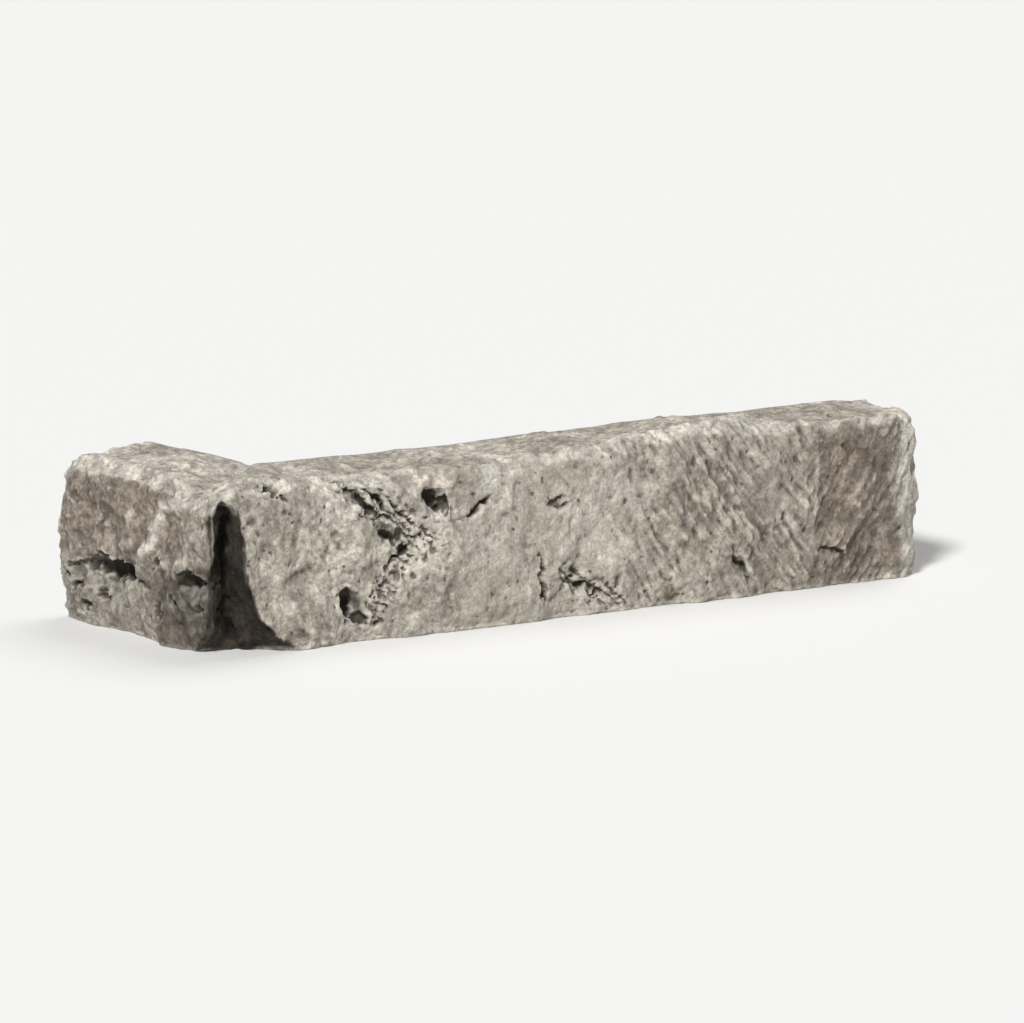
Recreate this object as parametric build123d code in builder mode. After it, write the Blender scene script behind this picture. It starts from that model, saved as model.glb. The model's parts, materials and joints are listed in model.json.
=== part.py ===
from build123d import *
import os
from math import cos, radians, sin, tan, tau
from typing import NamedTuple

# Corner unit of manufactured stone veneer: one piece of cast concrete, an L in plan.
# Its outer faces are riven like split stone, and its two backs are flat, to bond to a wall's corner.
# It stands on its bed as it is laid, with the long leg along X and its riven face towards -Y.
# The origin is at the middle of the unit's outer box, on the bed. Lengths are in millimetres.
# A point of a face is given by its distance along the leg from the arris, and its height above the bed.

# Driving dimensions
LONG_LEG = 290.0  # arris to the end of the long leg
SHORT_LEG = 105.0  # arris to the end of the short leg
HEIGHT = 62.0  # bed to the highest point of the top
THICKNESS = 40.0  # proudest point of a riven face to its back
BACK_HEIGHT = 57.0  # bed to the top edge of the backs
INNER_FILLET = 5.0  # where the two backs meet

# Crests: share of the leg's length from the arris, and the drop below the full height
LONG_CREST = (
    (0.00, 6.0),
    (0.03, 2.5),
    (0.17, 5.5),
    (0.40, 6.5),
    (0.54, 3.5),
    (0.62, 0.0),
    (0.70, 0.0),
    (0.83, 4.0),
    (0.95, 4.5),
    (1.00, 9.0),
)
SHORT_CREST = ((0.00, 6.0), (0.08, 11.0), (0.19, 9.0), (0.43, 4.5), (0.72, 4.5), (0.90, 6.0), (1.00, 11.0))

# Riven relief: depth, wavelength along the leg, wavelength up the face, phase in turns
WAVES = (
    (2.2, 96.0, 150.0, 0.30),
    (1.5, 41.0, -58.0, 0.65),
    (1.0, 23.0, -31.0, 0.10),
)
FLAKE_DEPTH = 1.8  # how far the flakes of the face stand in and out, from bend to bend
EDGE_ROLL = 4.5  # how far the face rolls back at its bed and its crest
ROLL_SHIFT = 0.8  # share of that by which it varies
END_ROLL = 5.0  # how far it rolls back at the free end of a leg
END_REACH = 13.0  # length of leg over which it does so
ARRIS_ROLL = 2.5
ARRIS_REACH = 9.0
LEVELS = (0.11, 0.29, 0.47, 0.65, 0.80, 0.91)  # shares of the height where the face bends
LEVEL_SHIFT = 0.05  # share by which they vary from section to section
STATION_PITCH = 10.0  # spacing of the sections along the legs
STATION_SHIFT = 0.35  # share of that spacing by which they vary
TOP_BENDS = (0.3, 0.65)  # shares of the way from the crest to the back where the top bends
TOP_WAVE = 2.4  # how far it varies in height there

# Ledges: the short face is broken back under two of them, and leans out again to the bed
# Each has a start, a middle and an end: distance along the leg, height of the ledge, depth
LEDGES = (
    ((9.0, 20.0, 1.0), (19.0, 25.0, 9.5), (33.0, 22.0, 1.0)),
    ((48.0, 17.0, 1.0), (67.0, 23.0, 10.0), (98.0, 20.0, 1.0)),
)
LEDGE_RISE = 3.0  # from the back of a ledge to its lip
LEDGE_SLOPE = 24.0  # degrees by which the face leans out below it

# Facet: the short face is split off beside the arris, through three points: along, up, depth
FACET = ((10.0, 52.0, 0.0), (34.0, 22.0, 0.0), (6.0, 22.0, 5.0))

# Broken arris: height, width on the long face, along and depth of the slot's heart, width on the short face
NOTCH = (
    (0.0, 37.0, 20.0, 18.0, 22.0),
    (6.0, 25.0, 17.0, 19.0, 12.0),
    (13.0, 17.0, 15.0, 19.0, 8.0),
    (23.0, 12.5, 14.0, 18.0, 6.5),
    (38.0, 10.5, 12.0, 16.0, 5.5),
    (48.0, 9.0, 10.0, 12.0, 4.5),
    (53.0, 6.0, 5.0, 5.0, 3.0),
    (55.0, 3.0, 1.0, 1.0, 1.0),
)

# Fissures and pits of the long face: the ends of each one's middle line, and its half width
FISSURES = (
    ((50.0, 55.0), (68.0, 40.0), 2.6),
    ((62.0, 42.0), (84.0, 24.0), 3.0),
    ((76.0, 27.0), (66.0, 12.0), 2.4),
    ((51.0, 20.0), (63.0, 3.0), 4.2),
    ((82.0, 49.0), (95.0, 40.0), 4.6),
    ((104.0, 55.0), (113.0, 43.0), 2.4),
    ((131.5, 22.0), (133.0, 6.0), 2.0),
    ((141.0, 14.0), (162.0, 2.0), 2.2),
    ((210.0, 18.0), (214.0, 3.0), 1.8),
)
FISSURE_BELLY = 0.4  # share of its length where a fissure is widest

SPARE = 4.0  # how far rough shapes run past the planes that trim them
ARRIS = Vector(-LONG_LEG / 2, -SHORT_LEG / 2)
UP = Vector(0, 0, 1)


class Leg(NamedTuple):
    """A leg's length and crest, the direction in which it runs from the arris, and the way in from its face."""

    length: float
    crest: tuple
    run: Vector
    inward: Vector


LONG = Leg(LONG_LEG, LONG_CREST, Vector(1, 0), Vector(0, 1))
SHORT = Leg(SHORT_LEG, SHORT_CREST, Vector(0, 1), Vector(1, 0))


def uneven(step, row=0):
    """An uneven but repeatable share from 0 to 1."""
    return sin(12.99 * (step + 1) + 78.23 * row) * 437.58 % 1


def crest_height(leg, along):
    """Height of the top edge of a leg's face."""
    share = min(along / leg.length, 1.0)
    for (share_a, drop_a), (share_b, drop_b) in zip(leg.crest, leg.crest[1:]):
        if share <= share_b:
            return HEIGHT - drop_a - (drop_b - drop_a) * (share - share_a) / (share_b - share_a)


def stations(leg):
    """Distances of a leg's sections from the arris, uneven, and closer where the face rolls back."""
    middle = leg.length - END_REACH - ARRIS_REACH
    count = round(middle / STATION_PITCH)
    shares = [(n + STATION_SHIFT * (uneven(n) - 0.5)) / count for n in range(1, count)]
    near = [0.0, ARRIS_REACH / 2, ARRIS_REACH]
    far = [leg.length - END_REACH, leg.length - END_REACH / 3, leg.length + SPARE]
    return near + [ARRIS_REACH + share * middle for share in shares] + far


def relief(leg, along, up):
    """Depth of a riven face, before it is moved out to its proudest point."""
    depth = sum(
        size * (1 + cos(tau * (along / run + up / rise + phase))) / 2 for size, run, rise, phase in WAVES
    )
    to_end = max(0.0, along - (leg.length - END_REACH)) / END_REACH
    to_arris = max(0.0, ARRIS_REACH - along) / ARRIS_REACH
    return depth + END_ROLL * to_end**2 + ARRIS_ROLL * to_arris**2


def profile(leg, along, step):
    """A section's face from below the bed up to the crest, as depths and heights."""
    top = crest_height(leg, along)
    foot_roll = EDGE_ROLL * (1 + ROLL_SHIFT * (uneven(3 * step) - 0.5))
    crest_roll = EDGE_ROLL * (1 + ROLL_SHIFT * (uneven(5 * step + 1) - 0.5))
    foot = (relief(leg, along, 0) + foot_roll, -SPARE)
    crest = (relief(leg, along, top) + crest_roll, top)
    bends = []
    for row, level in enumerate(LEVELS):
        up = (level + LEVEL_SHIFT * (uneven(step) - 0.5)) * top
        bends.append((relief(leg, along, up) + FLAKE_DEPTH * uneven(step, row), up))
    return [foot, *bends, crest]


def proudest(leg):
    """The least depth of a leg's face, clear of the broken arris."""
    clear = [(step, along) for step, along in enumerate(stations(leg)) if along > THICKNESS]
    return min(depth for step, along in clear for depth, up in profile(leg, along, step))


def back_point(leg, along):
    """Where a section ends behind the back: near the arris the sections fan round the wall's corner."""
    reach = THICKNESS + 2 * SPARE
    if along >= reach:
        return leg.run * along + leg.inward * (THICKNESS + SPARE)
    turn = radians(45 * (1 - along / reach))
    return leg.run * (reach - SPARE * sin(turn)) + leg.inward * (reach - SPARE * cos(turn))


def section_plane(leg, along):
    """Upright plane of a section, with its origin on the arris side of the face and its X axis inwards."""
    face = leg.run * along
    across = back_point(leg, along) - face
    return Plane(ARRIS + face, x_dir=across, z_dir=across.cross(UP))


def section_outline(leg, along, step):
    """Outline of a section: its face, its uneven top, then its back."""
    face = [(depth - proudest(leg), up) for depth, up in profile(leg, along, step)]
    crest_depth, crest = face[-1]
    reach = (back_point(leg, along) - leg.run * along).length
    wave = TOP_WAVE * min((along + SPARE) / reach, 1)
    top = []
    for row, share in enumerate(TOP_BENDS):
        level = crest + (BACK_HEIGHT - crest) * share
        top.append((crest_depth + (reach - crest_depth) * share, level + wave * (uneven(step, row) - 0.5)))
    return [*face, *top, (reach, BACK_HEIGHT), (reach, -SPARE)]


# Riven body: sections that follow the L from the end of its long leg, round the arris, to its other end
sections = [(LONG, along, step) for step, along in enumerate(stations(LONG))][::-1]
sections += [(SHORT, along, step) for step, along in enumerate(stations(SHORT))][1:]
with BuildPart() as riven_body:
    for leg, along, step in sections:
        with BuildSketch(section_plane(leg, along)):
            with BuildLine():
                Polyline(*section_outline(leg, along, step), close=True)
            make_face()
    loft(ruled=True)

# Notch: V-shaped sections that widen down the arris, to below the bed
with BuildPart() as notch:
    for height, width, heart, depth, bite in ((-SPARE, *NOTCH[0][1:]), *NOTCH):
        with BuildSketch(Plane(ARRIS + UP * height)):
            with BuildLine():
                Polyline(
                    (-SPARE, -SPARE),
                    (width, -SPARE),
                    (width, 0),
                    (heart, depth),
                    (0, bite),
                    (-SPARE, bite),
                    close=True,
                )
            make_face()
    loft(ruled=True)

with BuildPart() as corner_unit:
    # Flat backs, bed and ends, from an L-shaped block that stands clear of the riven faces
    with BuildSketch() as plan:
        with Locations((LONG_LEG / 2, SHORT_LEG / 2)):
            Rectangle(LONG_LEG + SPARE, SHORT_LEG + SPARE, align=(Align.MAX, Align.MAX))
            Rectangle(
                LONG_LEG - THICKNESS,
                SHORT_LEG - THICKNESS,
                align=(Align.MAX, Align.MAX),
                mode=Mode.SUBTRACT,
            )
        wall_corner = ARRIS + Vector(THICKNESS, THICKNESS)
        fillet(plan.vertices().sort_by_distance(wall_corner)[0], INNER_FILLET)
    extrude(amount=HEIGHT + SPARE)
    add(riven_body.part, mode=Mode.INTERSECT)

    # Facet beside the arris
    ridge, foot, heel = (ARRIS + Vector(depth, along, up) for along, up, depth in FACET)
    split(bisect_by=Plane(ridge, x_dir=foot - ridge, z_dir=(heel - ridge).cross(foot - ridge)), keep=Keep.TOP)

    # Ledges of the short face: each groove has a triangular section
    for ledge in LEDGES:
        for along, height, depth in ledge:
            drop = (depth + SPARE) / tan(radians(LEDGE_SLOPE))
            with BuildSketch(Plane(ARRIS + SHORT.run * along, x_dir=SHORT.inward, z_dir=-SHORT.run)):
                with BuildLine():
                    Polyline((-SPARE, height + LEDGE_RISE), (depth, height), (-SPARE, height - drop), close=True)
                make_face()
        loft(ruled=True, mode=Mode.SUBTRACT)

    # Broken arris
    add(notch.part, mode=Mode.SUBTRACT)

    # Fissures and pits: each tapers to both ends, with its middle line on the face
    for (start_along, start_up), (end_along, end_up), half_width in FISSURES:
        face = relief(LONG, (start_along + end_along) / 2, (start_up + end_up) / 2) + FLAKE_DEPTH / 2
        sink = face - proudest(LONG)
        start = ARRIS + Vector(start_along, sink, start_up)
        run = ARRIS + Vector(end_along, sink, end_up) - start
        with BuildSketch(Plane(start, x_dir=run, z_dir=(0, -1, 0))) as lens:
            with BuildLine():
                Polyline((0, 0), (run.length * FISSURE_BELLY, half_width), (run.length, 0))
                Line((run.length, 0), (0, 0))
            make_face()
        revolve(axis=Axis(start, run), mode=Mode.SUBTRACT)

corner_unit.part.label = "corner_unit"
os.makedirs("parts", exist_ok=True)
export_step(corner_unit.part, "parts/corner_unit.step")
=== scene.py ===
import json
import math
from typing import NamedTuple

import bmesh
import bpy
import numpy as np
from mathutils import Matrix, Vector, noise


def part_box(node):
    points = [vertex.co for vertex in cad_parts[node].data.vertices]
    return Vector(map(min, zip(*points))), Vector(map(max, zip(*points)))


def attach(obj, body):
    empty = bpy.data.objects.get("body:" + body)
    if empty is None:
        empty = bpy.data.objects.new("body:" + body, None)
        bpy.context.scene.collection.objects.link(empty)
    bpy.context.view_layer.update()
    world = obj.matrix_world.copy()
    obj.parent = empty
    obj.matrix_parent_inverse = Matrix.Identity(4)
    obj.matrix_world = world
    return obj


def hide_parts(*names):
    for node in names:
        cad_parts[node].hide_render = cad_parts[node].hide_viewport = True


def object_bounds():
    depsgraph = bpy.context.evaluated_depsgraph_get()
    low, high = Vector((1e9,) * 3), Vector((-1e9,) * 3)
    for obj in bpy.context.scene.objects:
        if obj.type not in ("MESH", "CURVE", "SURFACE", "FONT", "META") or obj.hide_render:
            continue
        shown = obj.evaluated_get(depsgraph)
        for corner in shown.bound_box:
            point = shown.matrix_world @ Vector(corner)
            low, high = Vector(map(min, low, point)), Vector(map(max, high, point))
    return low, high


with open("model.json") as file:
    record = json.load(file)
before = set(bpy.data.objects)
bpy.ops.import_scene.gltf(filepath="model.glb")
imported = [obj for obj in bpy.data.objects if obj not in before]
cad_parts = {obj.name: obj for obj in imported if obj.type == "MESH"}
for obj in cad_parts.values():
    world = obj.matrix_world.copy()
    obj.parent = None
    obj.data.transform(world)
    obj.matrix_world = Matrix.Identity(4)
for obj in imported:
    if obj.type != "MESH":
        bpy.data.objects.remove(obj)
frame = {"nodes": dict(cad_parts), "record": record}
cad_low, cad_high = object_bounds()

# Corner unit of manufactured stone veneer: the cast solid gets its fine riven relief and its colour.
# Lengths are in metres, in the frame of the solid: the long leg runs along X from the arris, which is at
# the lowest X and Y, and the unit stands on its bed at Z 0.

NODE = "corner_unit"
MM = 0.001

# Mesh: the size of its cells, and the share of their triangles that the backs and the bed keep
VOXEL = 0.72 * MM
PLAIN_KEPT = 0.10

# Viewpoint: the camera stands as far off as the photograph's, and its lens is as long as the unit needs
VIEW_AZIMUTH = -34.6
VIEW_ELEVATION = 9.5
VIEW_DISTANCE = 4.1
VIEW_SPAN = 0.345  # width of the view at the unit
VIEW_FORWARD = 12 * MM  # from the middle of the unit's box to the middle of the view
VIEW_END = 100.0
SENSOR = 0.036

# Floor and light
FLOOR_HALF = 6.0
FLOOR_COLOUR = (0.88, 0.88, 0.87, 1)
FLOOR_ROUGHNESS = 0.9
WORLD_COLOUR = (1, 1, 1, 1)
WORLD_LEVEL = 0.17

# Zones of the long face, in mm from the arris: each starts at the first distance and is whole at the second
EVEN_START = (90, 105)
EVEN_END = (184, 166)
FAR_START = (166, 190)
STREAKS_START = (150, 186)
STREAKS_TURN = (241, 247)
TINT_START = (150, 182)
BROWN_START = (239, 247)
PALE_END_START = (277, 284)

# Zones of the short face, in mm: its depth, its part beside the arris, and its pitted and shaded foot
SHORT_FACE_DEPTH = (14, 11)
BESIDE_ARRIS = (46, 38)
PITTED_FOOT = (27, 20)
SHADED_FOOT = (30, 24)
# The ridge above which it is brown: height at the arris, fall for each mm along it, least height
RIDGE_TOP = 51
RIDGE_FALL = 0.6
RIDGE_LEAST = 23
# The pale part of its foot: middle, half length, half width, tilt in degrees
PALE_FOOT = ((57, 10), 14, 12, -20)

# The slot at the arris, dark with painted shade and some dirt, in mm: how far it lies behind each face, and
# how far it reaches
SLOT_BEHIND_SHORT = (8, 10)
SLOT_BEHIND_LONG = (6, 9)
SLOT_REACH = (39, 36)

# How squarely a point has to look out of a face to belong to it
FACING = (0.3, 0.8)
FACING_SLOT = (0.1, 0.35)
FACING_DOWN = (0.6, 0.9)

# Heights of the relief in mm: everywhere, and what the long face, the short face and the edges add
ROUGH_HEIGHT = (0.30, 0.12, 0.15, 0.0)
CHIP_HEIGHT = (0.12, 0.0, 0.16, 0.30)
SMALL_CHIP_HEIGHT = (0.05, 0.0, 0.07, 0.12)
GRAIN_HEIGHT = 0.13
STREAK_HEIGHT = 0.22
INSET = 0.3  # the whole relief lies this far inside the solid

# Streaks and dashes that slant across the long face: lean, length, depth, width in mm
STREAK = (0.7, 12, 9, 2.2)
BROWN_STREAK = (-0.6, 12, 9, 2.2)
DASH = (0.35, 8, 6, 3.0)

mounts = {mount["name"]: Vector(mount["pos_m"]) for mount in frame["record"]["mounts"]}
low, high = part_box(NODE)
BACK_Y = mounts["back_long"].y
BACK_X = mounts["back_short"].x


def smoothstep(start, end, value):
    """0 before start, 1 after end, and a smooth rise between them."""
    share = np.clip((value - start) / (end - start), 0, 1)
    return share * share * (3 - 2 * share)


def coordinates(mesh):
    points = np.empty(len(mesh.vertices) * 3)
    mesh.vertices.foreach_get("co", points)
    return points.reshape(-1, 3)


def normals(mesh):
    vectors = np.empty(len(mesh.vertices) * 3, np.float32)
    mesh.vertex_normals.foreach_get("vector", vectors)
    return vectors.reshape(-1, 3).astype(float)


def move_to(mesh, points):
    mesh.vertices.foreach_set("co", points.astype(np.float32).ravel())
    mesh.update()


def set_attribute(mesh, name, values):
    attribute = mesh.attributes.new(name, "FLOAT", "POINT")
    attribute.data.foreach_set("value", values.astype(np.float32))


def with_modifier(mesh, kind, chosen=(), **settings):
    """A new mesh: this one with one modifier applied, only to the chosen vertices if any are given."""
    holder = bpy.data.objects.new("holder", mesh)
    bpy.context.scene.collection.objects.link(holder)
    modifier = holder.modifiers.new(kind.lower(), kind)
    if len(chosen):
        holder.vertex_groups.new(name="chosen").add(chosen, 1.0, "REPLACE")
        modifier.vertex_group = "chosen"
    for name, value in settings.items():
        setattr(modifier, name, value)
    graph = bpy.context.evaluated_depsgraph_get()
    result = bpy.data.meshes.new_from_object(holder.evaluated_get(graph))
    bpy.data.objects.remove(holder)
    return result


def smoothed(mesh, iterations):
    return with_modifier(mesh, "SMOOTH", factor=0.5, iterations=iterations)


def thinned(mesh, plain):
    """The mesh with fewer triangles where it is plain and hidden."""
    kept = 1 - (1 - PLAIN_KEPT) * len(plain) / len(mesh.vertices)
    return with_modifier(mesh, "DECIMATE", plain.tolist(), ratio=kept)


def fractal(points, size, octaves=4, shift=0.0):
    """Fractal noise of about -1 to 1 with features of the given size."""
    places = (points / size + shift).tolist()
    return np.array([noise.fractal(place, 1.0, 2.0, octaves) for place in places])


def wander(points, size, shift=0.0):
    """A smooth noise vector for each point."""
    return np.column_stack([fractal(points, size, 1, shift + 20.0 * axis) for axis in range(3)])


def scatter(places):
    """Three uneven but repeatable shares from -1 to 1 for each place."""
    mixed = places @ np.array(((12.99, 39.35, 73.16), (78.23, 11.14, 52.24), (37.72, 83.16, 9.15)))
    return 2 * ((np.sin(mixed) * 43758.5) % 1) - 1


def seeds_near(places, count):
    """The nearest points of a random lattice: an array of those nearest to each place, then of the next."""
    return np.array([noise.voronoi(place)[1][:count] for place in places.tolist()]).transpose(1, 0, 2)


def scallops(points, size, lean=0.35, shift=0.0):
    """Hollow chips of about the given size that meet at crisp ridges."""
    places = points / size + shift
    heights = np.full(len(points), np.inf)
    for seed in seeds_near(places, 3):
        offset = places - seed
        bowl = (offset**2).sum(axis=1) + (offset * scatter(seed)).sum(axis=1) * lean
        heights = np.minimum(heights, bowl)
    return heights


def pits(points, size, share, shift=0.0):
    """Small uneven pits, in a share of cells of the given size: 0 outside them and 1 at their deepest."""
    places = (points + shift) / size
    (seed,) = seeds_near(places, 1)
    chance = scatter(seed)
    radius = 0.12 + 0.20 * np.clip(chance[:, 0], 0, 1) ** 2
    gap = np.linalg.norm((places - seed) * (1 + 0.4 * chance), axis=1)
    return smoothstep(1.0, 0.45, gap / radius) * (chance[:, 1] > 1 - 2 * share)


def level(values):
    """The same values, spread evenly about 0."""
    return (values - values.mean()) / values.std()


# Features of the faces: points as distance from the arris and height, in mm, with sizes in mm
# Cracks of the long face: path, half width, depth
LONG_CRACKS = (
    (((50, 58), (56, 53), (64, 49), (70, 43), (75, 41)), 1.3, 2.6),
    (((58, 49), (64, 43), (71, 40), (76, 34), (84, 33)), 1.2, 2.6),
    (((62, 42), (67, 36), (72, 35), (77, 31)), 1.0, 2.0),
    (((69, 48), (74, 43), (77, 41), (81, 36)), 0.9, 1.8),
    (((82, 33), (77, 29), (73, 27), (69, 21), (67, 15)), 1.1, 2.2),
    (((131, 24), (132, 18), (131, 15), (133, 8)), 1.2, 2.4),
    (((139, 17), (146, 11), (151, 10), (157, 6), (163, 4)), 1.1, 2.2),
    (((134, 40), (138, 38.5), (144, 40)), 1.3, 2.0),
    (((101, 38), (106, 41.5), (112, 45.5)), 1.1, 2.2),
    (((208, 19), (211, 14), (213, 12), (216, 4)), 1.1, 2.0),
    (((243, 14), (250, 13.5), (256, 12), (257, 3)), 0.9, 1.4),
)
# Cracks of the short face, along the backs of its ledges
SHORT_CRACKS = (
    (((10, 22), (15, 24), (20, 25), (31, 23)), 1.6, 2.0),
    (((47, 17), (56, 20), (67, 23), (82, 22), (93, 20)), 2.0, 2.4),
)
# Pits: middle, half length, half width, tilt in degrees, depth
LONG_PITS = (
    ((87.0, 46.5), 4.4, 2.4, -55, 3.0),
    ((90.5, 44.0), 5.0, 2.0, -12, 2.8),
    ((55.0, 13.5), 6.5, 2.8, 75, 2.6),
    ((59.5, 8.0), 4.5, 2.4, -25, 2.4),
    ((66.0, 6.0), 3.0, 1.5, 20, 1.6),
    ((49.5, 18.0), 2.6, 1.3, 60, 1.4),
    ((23.0, 54.5), 4.5, 1.3, -12, 1.8),
    ((28.0, 52.0), 2.5, 1.1, -40, 1.4),
    ((137.0, 40.0), 4.0, 1.5, 5, 1.6),
    ((132.5, 9.5), 1.8, 3.0, -10, 2.4),
)
SHORT_PITS = (
    ((71.0, 21.5), 17.0, 5.2, 3, 2.6),
    ((24.0, 25.0), 8.0, 3.6, -8, 2.8),
    ((32.0, 15.5), 3.4, 2.4, 30, 2.4),
    ((41.0, 11.0), 2.4, 4.0, 10, 2.4),
    ((18.0, 15.0), 2.8, 2.2, 0, 2.2),
    ((44.0, 4.5), 1.8, 3.4, 5, 2.0),
    ((43.0, 27.0), 2.0, 3.0, -20, 1.8),
    ((96.0, 17.0), 6.0, 1.9, 5, 2.2),
    ((87.0, 13.5), 5.0, 1.7, -5, 2.0),
    ((98.0, 10.5), 4.5, 1.7, 0, 2.0),
    ((74.0, 12.0), 3.0, 2.2, 20, 2.0),
    ((83.0, 7.5), 4.5, 1.7, 8, 2.0),
    ((98.0, 5.0), 4.0, 1.5, 0, 1.8),
    ((89.0, 44.0), 4.0, 2.2, 20, 1.2),
    ((74.0, 37.0), 3.0, 1.6, -20, 1.0),
)
# Pale facets of the long face, painted highlight on ledges that face the light and partly fresh breaks:
# middle, half length, half width, tilt in degrees
PALE_FACETS = (
    ((95.0, 40.0), 11.0, 2.6, 2),
    ((110.0, 50.5), 9.0, 5.0, 62),
    ((127.5, 14.0), 7.5, 1.8, 85),
    ((68.0, 30.0), 5.0, 2.0, 50),
    ((140.0, 36.5), 7.0, 2.0, 0),
    ((243.5, 37.0), 16.0, 1.2, 88),
    ((268.0, 57.0), 15.0, 4.0, -5),
)
# The short face's crest, which divides it from the arris down to its foot: path, height, half width
CREST = ((6, 56), (19, 51), (40, 47), (47, 33), (52, 24), (61, 16), (70, 7))
CREST_HEIGHT = 0.9
CREST_HALF_WIDTH = 2.4
# Flake scars, deep along the path and fading out to its left: path, depth, reach
SCARS = (
    (((84, 38), (95, 37), (104, 39), (115, 47)), 2.0, 9.0),
    (((118, 56), (111, 50), (104, 42)), 1.2, 7.0),
    (((40, 60), (50, 56), (62, 45), (74, 37), (86, 33)), 1.4, 8.0),
    (((66, 8), (71, 22), (84, 34)), 1.0, 8.0),
    (((165, 58), (168, 44), (174, 30), (184, 14)), 0.9, 10.0),
    (((193, 16), (195, 38), (193, 58)), 0.6, 9.0),
    (((239, 20), (241, 40), (240, 60)), 0.6, 10.0),
    (((128, 4), (131, 14), (130, 25)), 0.7, 6.0),
    (((138, 18), (150, 10), (166, 3)), 1.0, 7.0),
    (((256, 1), (256, 13), (243, 15)), 0.9, 8.0),
)
# Bands where thin layers have broken away in steps: path, half width
SPLINTERS = (
    (((50, 60), (60, 50), (70, 43), (84, 32)), 7.5),
    (((81, 33), (72, 22), (66, 12)), 5.0),
    (((141, 15), (164, 3)), 5.0),
)
# Their steps: direction along the face and up, pitch, drop
STEP_RUN = (0.64, 0.77)
STEP_PITCH = 2.8
STEP_DROP = 1.9


def along_path(along, up, path):
    """Distance of each point of a face from a path on it, the side it lies on, and the share passed."""
    nearest = np.full(len(along), np.inf)
    side = np.zeros(len(along))
    passed = np.zeros(len(along))
    lengths = [math.dist(a, b) for a, b in zip(path, path[1:])]
    before = 0.0
    for (a, b), length in zip(zip(path, path[1:]), lengths):
        run = ((b[0] - a[0]) / length, (b[1] - a[1]) / length)
        ahead = (along - a[0]) * run[0] + (up - a[1]) * run[1]
        aside = (up - a[1]) * run[0] - (along - a[0]) * run[1]
        gap = np.hypot(aside, ahead - np.clip(ahead, 0, length))
        closer = gap < nearest
        nearest = np.where(closer, gap, nearest)
        side = np.where(closer, np.sign(aside), side)
        passed = np.where(closer, (before + np.clip(ahead, 0, length)) / sum(lengths), passed)
        before += length
    return nearest, side, passed


def path_gap(along, up, path):
    """Distance of each point of a face from a path on it."""
    return along_path(along, up, path)[0]


def crack_depth(along, up, cracks):
    """Depth of the cracks of a face, in mm."""
    depth = np.zeros(len(along))
    for path, half_width, most in cracks:
        gap, _, passed = along_path(along, up, path)
        taper = np.sin(math.pi * np.clip(passed, 0.04, 0.96)) ** 0.5
        depth = np.maximum(depth, most * taper * np.clip(1 - gap / (half_width * taper), 0, 1))
    return depth


def within(along, up, middle, half_length, half_width, tilt):
    """1 in the middle of a tilted oval on a face, and 0 outside it."""
    turn = math.radians(tilt)
    along, up = along - middle[0], up - middle[1]
    run = along * math.cos(turn) + up * math.sin(turn)
    rise = up * math.cos(turn) - along * math.sin(turn)
    return smoothstep(1.0, 0.4, np.hypot(run / half_length, rise / half_width))


def pit_depth(along, up, large_pits):
    """Depth of the large pits of a face, in mm."""
    depth = np.zeros(len(along))
    for *oval, most in large_pits:
        depth = np.maximum(depth, most * within(along, up, *oval))
    return depth


def scar_depth(along, up):
    """Depth of the flake scars of the long face, in mm: each has a crisp edge along its path."""
    depth = np.zeros(len(along))
    for path, most, reach in SCARS:
        gap, side, passed = along_path(along, up, path)
        taper = np.sin(math.pi * np.clip(passed, 0.02, 0.98)) ** 0.5
        edge = smoothstep(-0.4, 0.5, side * gap)
        depth = np.maximum(depth, most * taper * edge * np.exp(-((gap / reach) ** 2)))
    return depth


def splintered(along, up):
    """How far the stone is splintered, from 0 to 1."""
    share = np.zeros(len(along))
    for path, half_width in SPLINTERS:
        share = np.maximum(share, smoothstep(half_width, 0.4 * half_width, path_gap(along, up, path)))
    return share


def broken_layers(along, up):
    """Steps of thin layers that slant down along the face, in mm."""
    across = (STEP_RUN[0] * along + STEP_RUN[1] * up) / STEP_PITCH
    return STEP_DROP * ((across - np.floor(across)) + 0.15)


def solid_copy():
    """The solid's own mesh, welded, as an even mesh of small quads."""
    mesh = frame["nodes"][NODE].data.copy()
    shape = bmesh.new()
    shape.from_mesh(mesh)
    bmesh.ops.remove_doubles(shape, verts=shape.verts, dist=0.001 * MM)
    shape.to_mesh(mesh)
    shape.free()
    return with_modifier(mesh, "REMESH", mode="VOXEL", voxel_size=VOXEL)


def back_gap(points):
    """Distance of each point from the planes of the two backs."""
    return np.minimum(
        np.where(points[:, 0] > BACK_X - VOXEL, np.abs(points[:, 1] - BACK_Y), np.inf),
        np.where(points[:, 1] > BACK_Y - VOXEL, np.abs(points[:, 0] - BACK_X), np.inf),
    )


class Skin(NamedTuple):
    """The surface before its relief: places in mm from the arris and the bed, and shares from 0 to 1."""

    # Points and normals, in metres, and the same points in mm along the long leg, along the short one and up
    points: np.ndarray
    out: np.ndarray
    along: np.ndarray
    across: np.ndarray
    up: np.ndarray
    # Share of each face, zone and kind of place
    long_face: np.ndarray
    short_face: np.ndarray
    even: np.ndarray
    far: np.ndarray
    edge: np.ndarray
    back: np.ndarray
    bed: np.ndarray
    slot: np.ndarray


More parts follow.
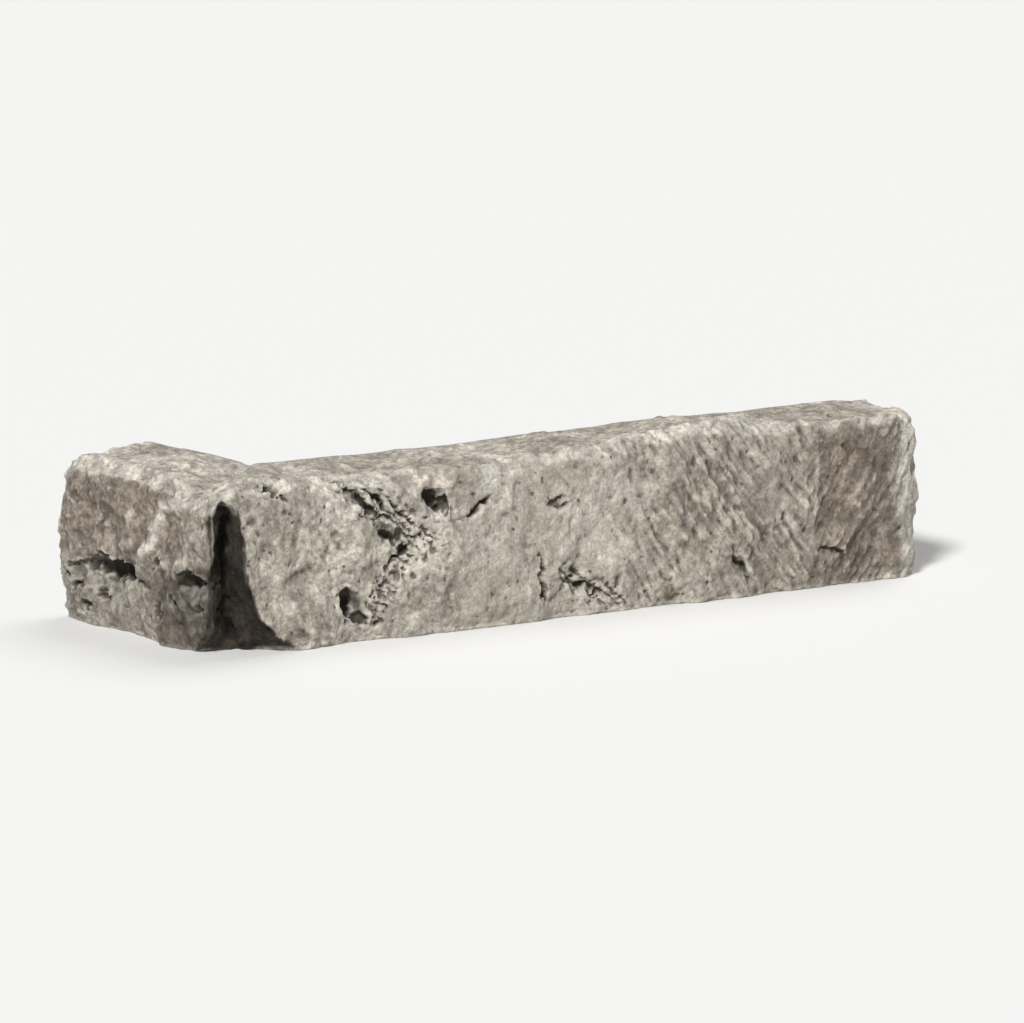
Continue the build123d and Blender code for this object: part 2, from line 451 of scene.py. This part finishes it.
def read_skin(mesh):
    points = coordinates(mesh)
    out = normals(smoothed(mesh, 20))
    along, across, up = ((points - np.array(low)) / MM).T
    facing = smoothstep(*FACING_SLOT, -out)
    inside = np.maximum(
        facing[:, 0] * smoothstep(*SLOT_BEHIND_SHORT, along),
        facing[:, 1] * smoothstep(*SLOT_BEHIND_LONG, across),
    )
    inside *= smoothstep(*SLOT_REACH, np.maximum(along, across)) * smoothstep(0.5, 0.2, out[:, 2])
    bed = smoothstep(*FACING_DOWN, -out[:, 2]) * smoothstep(2, 1, up)
    long_face = smoothstep(*FACING, -out[:, 1])
    return Skin(
        points=points,
        out=out,
        along=along,
        across=across,
        up=up,
        long_face=long_face,
        short_face=smoothstep(*FACING, -out[:, 0]),
        even=smoothstep(*EVEN_START, along) * smoothstep(*EVEN_END, along) * long_face,
        far=smoothstep(*FAR_START, along) * long_face,
        edge=smoothstep(0.97, 0.82, np.abs(out).max(axis=1)),
        back=smoothstep(3 * MM, 1 * MM, back_gap(points)),
        bed=bed,
        slot=inside * (1 - bed),
    )


def slanted(skin, lean, length, depth, width):
    """Places on the long face in cells that lean back as they rise, or forward where lean is negative."""
    run = (skin.up - lean * skin.along) / length
    aside = (skin.along + lean * skin.up) / width
    return np.column_stack((run, skin.points[:, 1] / (depth * MM), aside))


def slanting_streaks(skin, streak, patchy):
    """Streaks across the long face, bent a little from patch to patch."""
    places = slanted(skin, *streak)
    places[:, 0] += 0.3 * patchy
    return level(fractal(places, 1.0, 2, 3.0))


def amount(skin, plain, on_long_face, on_short_face, on_edge):
    """A height that is plain everywhere, with what the faces and the edges add."""
    return plain + on_long_face * skin.long_face + on_short_face * skin.short_face + on_edge * skin.edge


def surface_relief(skin):
    """Height of the relief in mm, how far it is carved, and the streaks of its far end."""
    points, along, up = skin.points, skin.along, skin.up
    long_face, short_face = skin.long_face, skin.short_face
    crooked = points + wander(points, 5 * MM, 4.0) * 1.5 * MM
    patchy = level(fractal(points, 26 * MM, 2))
    rough = level(fractal(points, 11 * MM, 4, 2.0))
    chips = level(scallops(crooked, 11 * MM))
    small_chips = level(scallops(crooked, 4.5 * MM, 0.5, 3.0))
    grain = level(fractal(crooked, 2.4 * MM, 2, 9.0))
    turned = smoothstep(*STREAKS_TURN, along + 2 * patchy)
    streaks = slanting_streaks(skin, STREAK, patchy) * (1 - turned)
    streaks += slanting_streaks(skin, BROWN_STREAK, patchy) * turned
    streaked = smoothstep(*STREAKS_START, along + 10 * patchy) * long_face
    streaks *= streaked * smoothstep(-1.8, 0.4, patchy)

    relief = rough * amount(skin, *ROUGH_HEIGHT) * (1 - 0.4 * skin.even) - INSET
    relief += chips * amount(skin, *CHIP_HEIGHT)
    relief += small_chips * amount(skin, *SMALL_CHIP_HEIGHT)
    relief += grain * GRAIN_HEIGHT
    relief += streaks * STREAK_HEIGHT

    jag = wander(points, 3.0 * MM, 2.0) + wander(points, 1.2 * MM, 6.0) * 0.6
    ragged = points / MM - np.array(low) / MM + 2.2 * jag
    splinter = splintered(along + 3 * jag[:, 0], up + 3 * jag[:, 2]) * long_face
    relief -= splinter * broken_layers(along + 1.6 * jag[:, 0], up + 1.6 * jag[:, 2])
    relief -= scar_depth(along + jag[:, 0], up + jag[:, 2]) * long_face
    crest_gap = path_gap(skin.across + 1.5 * jag[:, 1], up + 1.5 * jag[:, 2], CREST)
    relief += CREST_HEIGHT * np.exp(-((crest_gap / CREST_HALF_WIDTH) ** 2)) * short_face

    in_short_face = smoothstep(*SHORT_FACE_DEPTH, along)
    foot = smoothstep(*PITTED_FOOT, up) * short_face
    carved = np.maximum.reduce(
        (
            crack_depth(along + jag[:, 0], up + jag[:, 2], LONG_CRACKS) * long_face,
            pit_depth(ragged[:, 0], ragged[:, 2], LONG_PITS) * long_face,
            crack_depth(skin.across + jag[:, 1], up + jag[:, 2], SHORT_CRACKS) * in_short_face,
            pit_depth(ragged[:, 1], ragged[:, 2], SHORT_PITS) * in_short_face,
            pits(points, size=7 * MM, share=0.35) * (1.1 - 0.3 * long_face),
            pits(points, size=3.6 * MM, share=0.5, shift=0.05) * 0.7,
            pits(slanted(skin, *DASH), size=1.0, share=0.5) * 0.8 * long_face,
            pits(points, size=6.5 * MM, share=0.8, shift=0.11) * 1.5 * foot,
        )
    )
    plain = np.maximum(np.maximum(skin.back, skin.bed) * 0.9, skin.slot * 0.3)
    return (relief - carved) * (1 - plain), carved, streaks


def shade(mesh, skin, carved, streaks):
    """Attributes for the material: crests and hollows, cracks, streaks, painted shade with some dirt, brown
    parts, and pale parts that are partly painted highlight.
    """
    for name, iterations in (("height", 18), ("recess", 300)):
        drop = coordinates(mesh) - coordinates(smoothed(mesh, iterations))
        set_attribute(mesh, name, np.einsum("ij,ij->i", drop, skin.out) / MM)
    patches = fractal(skin.points, 30 * MM, 3, 1.0)
    brown_end = smoothstep(*BROWN_START, skin.along + 5 * patches)
    far_end = 0.45 * smoothstep(*TINT_START, skin.along + 14 * patches) + 0.65 * brown_end

    across, up = skin.across + 4 * patches, skin.up + 5 * patches
    above_ridge = smoothstep(-3, 3, up - np.maximum(RIDGE_TOP - RIDGE_FALL * across, RIDGE_LEAST))
    beside_arris = smoothstep(*BESIDE_ARRIS, across)
    foot = smoothstep(*SHADED_FOOT, up)
    brown_foot = 0.7 - 0.55 * within(across, up, *PALE_FOOT)
    below_ridge = beside_arris * (0.35 + 0.65 * foot) + (1 - beside_arris) * brown_foot
    return_face = above_ridge + (1 - above_ridge) * below_ridge
    # Painted shade on the short face's foot below its ridge, most beside the arris, and a slightly darker
    # tone on the brown far end
    gloom = (0.26 + 0.34 * beside_arris) * (1 - above_ridge) * foot * skin.short_face
    gloom = np.maximum(gloom, 0.12 * brown_end * skin.long_face)
    set_attribute(mesh, "carved", np.clip(carved / 1.6, 0, 1))
    set_attribute(mesh, "streak", streaks)
    set_attribute(mesh, "tint", np.maximum(far_end * skin.long_face, return_face * skin.short_face))
    set_attribute(mesh, "bare", skin.back)
    set_attribute(mesh, "calm", np.maximum.reduce((0.65 * skin.back, 0.55 * skin.even, 0.35 * skin.far)))
    # Painted shade, with some dirt, in the slot at the arris, and the painted shade of the short face's foot
    set_attribute(mesh, "painted_shade_and_dirt", np.maximum(skin.slot, gloom))

    # Pale parts, partly painted highlight and partly wear: the rounded far end, ledges and facets that face
    # the light, the short face's crest and the edges
    pale = smoothstep(*PALE_END_START, skin.along + 5 * patches) * skin.long_face
    for oval in PALE_FACETS:
        pale = np.maximum(pale, within(skin.along + 4 * patches, skin.up, *oval) * skin.long_face)
    crest_gap = path_gap(skin.across + 3 * patches, skin.up + 3 * patches, CREST)
    pale = np.maximum(pale, 0.9 * smoothstep(3.2, 0.6, crest_gap) * skin.short_face)
    set_attribute(mesh, "highlight_and_wear", np.maximum(pale, 0.8 * skin.edge) * (1 - skin.slot) * (1 - skin.bed))


def riven_mesh():
    """The unit's surface: the solid's own, with broken edges, riven faces, cracks, pits and grain."""
    mesh = solid_copy()
    points = coordinates(mesh)
    loose = smoothstep(1 * MM, 7 * MM, np.minimum(back_gap(points), points[:, 2]))
    bend = wander(points, 12 * MM) * 0.9 * MM + wander(points, 4 * MM, 7.0) * 0.7 * MM
    move_to(mesh, points + bend * loose[:, None])
    mesh = smoothed(mesh, 3)

    skin = read_skin(mesh)
    relief, carved, streaks = surface_relief(skin)
    move_to(mesh, np.clip(skin.points + skin.out * (relief * MM)[:, None], cad_low, cad_high))
    shade(mesh, skin, carved, streaks)
    mesh = thinned(mesh, np.flatnonzero(np.maximum(skin.back, skin.bed) > 0.99))
    move_to(mesh, np.clip(coordinates(mesh), cad_low, cad_high))
    return mesh


class Shader:
    """A short way to write a material's nodes."""

    def __init__(self, name):
        self.material = bpy.data.materials.new(name)
        self.material.use_nodes = True
        self.nodes = self.material.node_tree.nodes
        self.links = self.material.node_tree.links
        self.surface = self.nodes["Principled BSDF"]
        self.place = self.nodes.new("ShaderNodeTexCoord").outputs["Object"]

    def put(self, socket, value):
        if isinstance(value, bpy.types.NodeSocket):
            self.links.new(value, socket)
        else:
            socket.default_value = value

    def attribute(self, name):
        node = self.nodes.new("ShaderNodeAttribute")
        node.attribute_name = name
        return node.outputs["Fac"]

    def noise(self, size, detail=3.0, roughness=0.5):
        node = self.nodes.new("ShaderNodeTexNoise")
        self.links.new(self.place, node.inputs["Vector"])
        node.inputs["Scale"].default_value = 1 / size
        node.inputs["Detail"].default_value = detail
        node.inputs["Roughness"].default_value = roughness
        return node.outputs["Fac"]

    def dots(self, size, inner, outer):
        """Round spots, one to a cell of the given size: 1 within the inner radius, 0 past the outer."""
        node = self.nodes.new("ShaderNodeTexVoronoi")
        self.links.new(self.place, node.inputs["Vector"])
        node.inputs["Scale"].default_value = 1 / size
        return self.span(node.outputs["Distance"], outer, inner)

    def span(self, value, low_in, high_in, low_out=0.0, high_out=1.0):
        """The value, taken smoothly from one range to another."""
        node = self.nodes.new("ShaderNodeMapRange")
        node.interpolation_type = "SMOOTHSTEP"
        names = ("Value", "From Min", "From Max", "To Min", "To Max")
        for name, given in zip(names, (value, low_in, high_in, low_out, high_out)):
            self.put(node.inputs[name], given)
        return node.outputs["Result"]

    def math(self, operation, *values):
        node = self.nodes.new("ShaderNodeMath")
        node.operation = operation
        for socket, value in zip(node.inputs, values):
            self.put(socket, value)
        return node.outputs[0]

    def times(self, first, second):
        return self.math("MULTIPLY", first, second)

    def mix(self, share, first, second, blend="MIX"):
        node = self.nodes.new("ShaderNodeMix")
        node.data_type = "RGBA"
        node.blend_type = blend
        sockets = [socket for socket in node.inputs if socket.enabled]
        for socket, value in zip(sockets, (share, first, second)):
            self.put(socket, value)
        return next(socket for socket in node.outputs if socket.enabled)

    def bump(self, height, distance, strength):
        node = self.nodes.new("ShaderNodeBump")
        node.inputs["Strength"].default_value = strength
        node.inputs["Distance"].default_value = distance
        self.put(node.inputs["Height"], height)
        return node.outputs["Normal"]


def tone(red, green, blue):
    """A colour given by its screen values from 0 to 255."""
    linear = [((v / 255 + 0.055) / 1.055) ** 2.4 for v in (red, green, blue)]
    return (*linear, 1.0)


# Colours of the stone, and of the painted shade and highlight on it
WARM_GREY = tone(174, 165, 152)
PALE_GREY = tone(198, 190, 178)
DARK_BROWN = tone(119, 108, 96)
LIGHT_BROWN = tone(151, 140, 127)
HIGHLIGHT_AND_WEAR_PALE = tone(210, 204, 192)
CREST_HIGHLIGHT_AND_WEAR = tone(214, 208, 197)
HOLLOW_SHADE_AND_PIGMENT = tone(96, 88, 77)
RECESS_SHADE_AND_PIGMENT = tone(66, 59, 51)
CRACK_SHADE = tone(62, 55, 47)
BACK_GREY = tone(160, 157, 151)
BUBBLE_SHADE = tone(92, 89, 84)
SHADE_AND_DIRT_SHARE = (0.085, 0.078, 0.07, 1.0)  # what the painted shade, with some dirt, leaves of the colour under it


def stone_material():
    """Matte cast concrete: warm grey with speckle, painted shade in pits, cracks and recesses, painted
    highlight partly from wear on crests and edges, and a browner far end.
    """
    shader = Shader("cast_stone")
    height = shader.attribute("height")
    recess = shader.attribute("recess")
    carved = shader.attribute("carved")
    tint = shader.attribute("tint")
    bare = shader.attribute("bare")
    painted_shade_and_dirt = shader.attribute("painted_shade_and_dirt")
    highlight_and_wear = shader.attribute("highlight_and_wear")

    clouds = shader.span(shader.noise(22 * MM, 4), 0.35, 0.65)
    colour = shader.mix(clouds, WARM_GREY, PALE_GREY)
    patches = shader.span(shader.noise(12 * MM, 4), 0.35, 0.65)
    brown = shader.mix(patches, DARK_BROWN, LIGHT_BROWN)
    colour = shader.mix(shader.times(tint, 0.9), colour, brown)
    # Painted highlight, partly wear, on the edges, crests, facets and far end
    colour = shader.mix(shader.times(highlight_and_wear, 0.85), colour, HIGHLIGHT_AND_WEAR_PALE)
    colour = shader.mix(bare, colour, BACK_GREY)

    blotches = shader.span(shader.noise(7.5 * MM, 4, 0.6), 0.36, 0.64, 0.74, 1.2)
    lively = shader.math("SUBTRACT", 1.0, shader.attribute("calm"))
    colour = shader.mix(lively, colour, blotches, "MULTIPLY")
    speckle = shader.span(shader.noise(3.0 * MM, 3, 0.65), 0.34, 0.66, 0.70, 1.26)
    colour = shader.mix(lively, colour, speckle, "MULTIPLY")
    streak = shader.span(shader.attribute("streak"), -1.5, 1.5, 0.76, 1.20)
    colour = shader.mix(1.0, colour, streak, "MULTIPLY")
    grit = shader.span(shader.noise(1.1 * MM, 2, 0.65), 0.36, 0.64, 0.84, 1.14)
    colour = shader.mix(1.0, colour, grit, "MULTIPLY")

    # Painted highlight on the crests of the relief, partly wear
    crest = shader.span(height, 0.08, 0.6, 0.0, 0.65)
    colour = shader.mix(crest, colour, CREST_HIGHLIGHT_AND_WEAR)
    # Painted shade in the small hollows of the relief, partly pigment pooled in them, weaker on the pale
    # parts
    hollow = shader.span(height, -0.04, -0.42, 0.0, 0.7)
    hollow_shade = shader.times(hollow, shader.span(highlight_and_wear, 0.0, 1.0, 1.0, 0.25))
    colour = shader.mix(hollow_shade, colour, HOLLOW_SHADE_AND_PIGMENT)
    # Painted shade in deep recesses such as the slot, the ledges and the large pits, partly pigment pooled in
    # them
    deep = shader.span(recess, -0.7, -2.6, 0.0, 0.9)
    shadowed = shader.times(deep, shader.span(highlight_and_wear, 0.0, 1.0, 1.0, 0.4))
    colour = shader.mix(shadowed, colour, RECESS_SHADE_AND_PIGMENT)
    # Painted shade, with some dirt, darkens the slot and the short face's foot almost to black
    shade_and_dirt_colour = shader.mix(1.0, colour, SHADE_AND_DIRT_SHARE, "MULTIPLY")
    colour = shader.mix(shader.times(painted_shade_and_dirt, 0.97), colour, shade_and_dirt_colour)
    # Painted shade in the cracks, pits and dashes, by how deep they are carved
    colour = shader.mix(shader.times(carved, 0.75), colour, CRACK_SHADE)
    # Painted shade in small air holes of the bare backs, which are only dents of the bump
    bubbles = shader.times(shader.dots(6 * MM, 0.10, 0.17), bare)
    colour = shader.mix(shader.times(bubbles, 0.6), colour, BUBBLE_SHADE)

    surface = shader.surface
    shader.put(surface.inputs["Base Color"], colour)
    shader.put(surface.inputs["Roughness"], shader.span(shader.noise(4 * MM, 2), 0.3, 0.7, 0.82, 0.96))
    surface.inputs["Specular IOR Level"].default_value = 0.3
    fine = shader.times(shader.noise(0.4 * MM), 0.4)
    grain = shader.math("ADD", shader.noise(1.0 * MM, 3, 0.65), fine)
    grain = shader.times(grain, shader.span(bare, 0.0, 1.0, 1.0, 0.4))
    grain = shader.math("SUBTRACT", grain, bubbles)
    shader.put(surface.inputs["Normal"], shader.bump(grain, distance=0.7 * MM, strength=0.8))
    return shader.material


def plain_material(name, colour, roughness):
    shader = Shader(name)
    shader.surface.inputs["Base Color"].default_value = colour
    shader.surface.inputs["Roughness"].default_value = roughness
    return shader.material


def make_unit():
    """The visible piece: it stands for the solid, and moves with its body."""
    mesh = riven_mesh()
    mesh.name = "riven_unit"
    mesh.materials.clear()
    mesh.materials.append(stone_material())
    mesh.shade_smooth()
    unit = bpy.data.objects.new("riven_unit", mesh)
    bpy.context.scene.collection.objects.link(unit)
    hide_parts(NODE)
    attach(unit, "root")


def make_floor():
    corners = ((-1, -1), (1, -1), (1, 1), (-1, 1))
    mesh = bpy.data.meshes.new("floor")
    mesh.from_pydata([(x * FLOOR_HALF, y * FLOOR_HALF, 0) for x, y in corners], [], [(0, 1, 2, 3)])
    mesh.materials.append(plain_material("floor", FLOOR_COLOUR, FLOOR_ROUGHNESS))
    floor = bpy.data.objects.new("floor", mesh)
    bpy.context.scene.collection.objects.link(floor)


def aim(thing, target):
    thing.rotation_mode = "QUATERNION"
    thing.rotation_quaternion = (target - thing.location).to_track_quat("-Z", "Y")


def direction(azimuth, elevation):
    """Unit vector towards a viewpoint or a lamp, given in degrees. Azimuth 0 is in front of the long face."""
    turn, rise = math.radians(azimuth), math.radians(elevation)
    return Vector((math.sin(turn) * math.cos(rise), -math.cos(turn) * math.cos(rise), math.sin(rise)))


def make_camera():
    target = Vector(((low.x + high.x) / 2, (low.y + high.y) / 2 - VIEW_FORWARD, (low.z + high.z) / 2))
    camera = bpy.data.objects.new("camera", bpy.data.cameras.new("camera"))
    bpy.context.scene.collection.objects.link(camera)
    camera.location = target + direction(VIEW_AZIMUTH, VIEW_ELEVATION) * VIEW_DISTANCE
    camera.data.sensor_width = SENSOR / MM
    camera.data.lens = SENSOR * VIEW_DISTANCE / VIEW_SPAN / MM
    camera.data.clip_end = VIEW_END
    aim(camera, target)
    bpy.context.scene.camera = camera


def make_sun(name, azimuth, elevation, strength, softness):
    """A distant soft lamp: azimuth 0 shines on the long face and -90 on the short one."""
    lamp = bpy.data.lights.new(name, "SUN")
    lamp.energy = strength * math.pi
    lamp.angle = math.radians(softness)
    holder = bpy.data.objects.new(name, lamp)
    bpy.context.scene.collection.objects.link(holder)
    holder.location = direction(azimuth, elevation)
    aim(holder, Vector((0, 0, 0)))


def make_light():
    make_sun("key", azimuth=-50, elevation=42, strength=0.98, softness=10)
    make_sun("fill", azimuth=110, elevation=55, strength=0.28, softness=40)
    world = bpy.data.worlds.new("studio")
    world.use_nodes = True
    background = world.node_tree.nodes["Background"]
    background.inputs["Color"].default_value = WORLD_COLOUR
    background.inputs["Strength"].default_value = WORLD_LEVEL
    bpy.context.scene.world = world


make_unit()
make_floor()
make_light()
make_camera()
bpy.context.scene.view_settings.view_transform = "Standard"
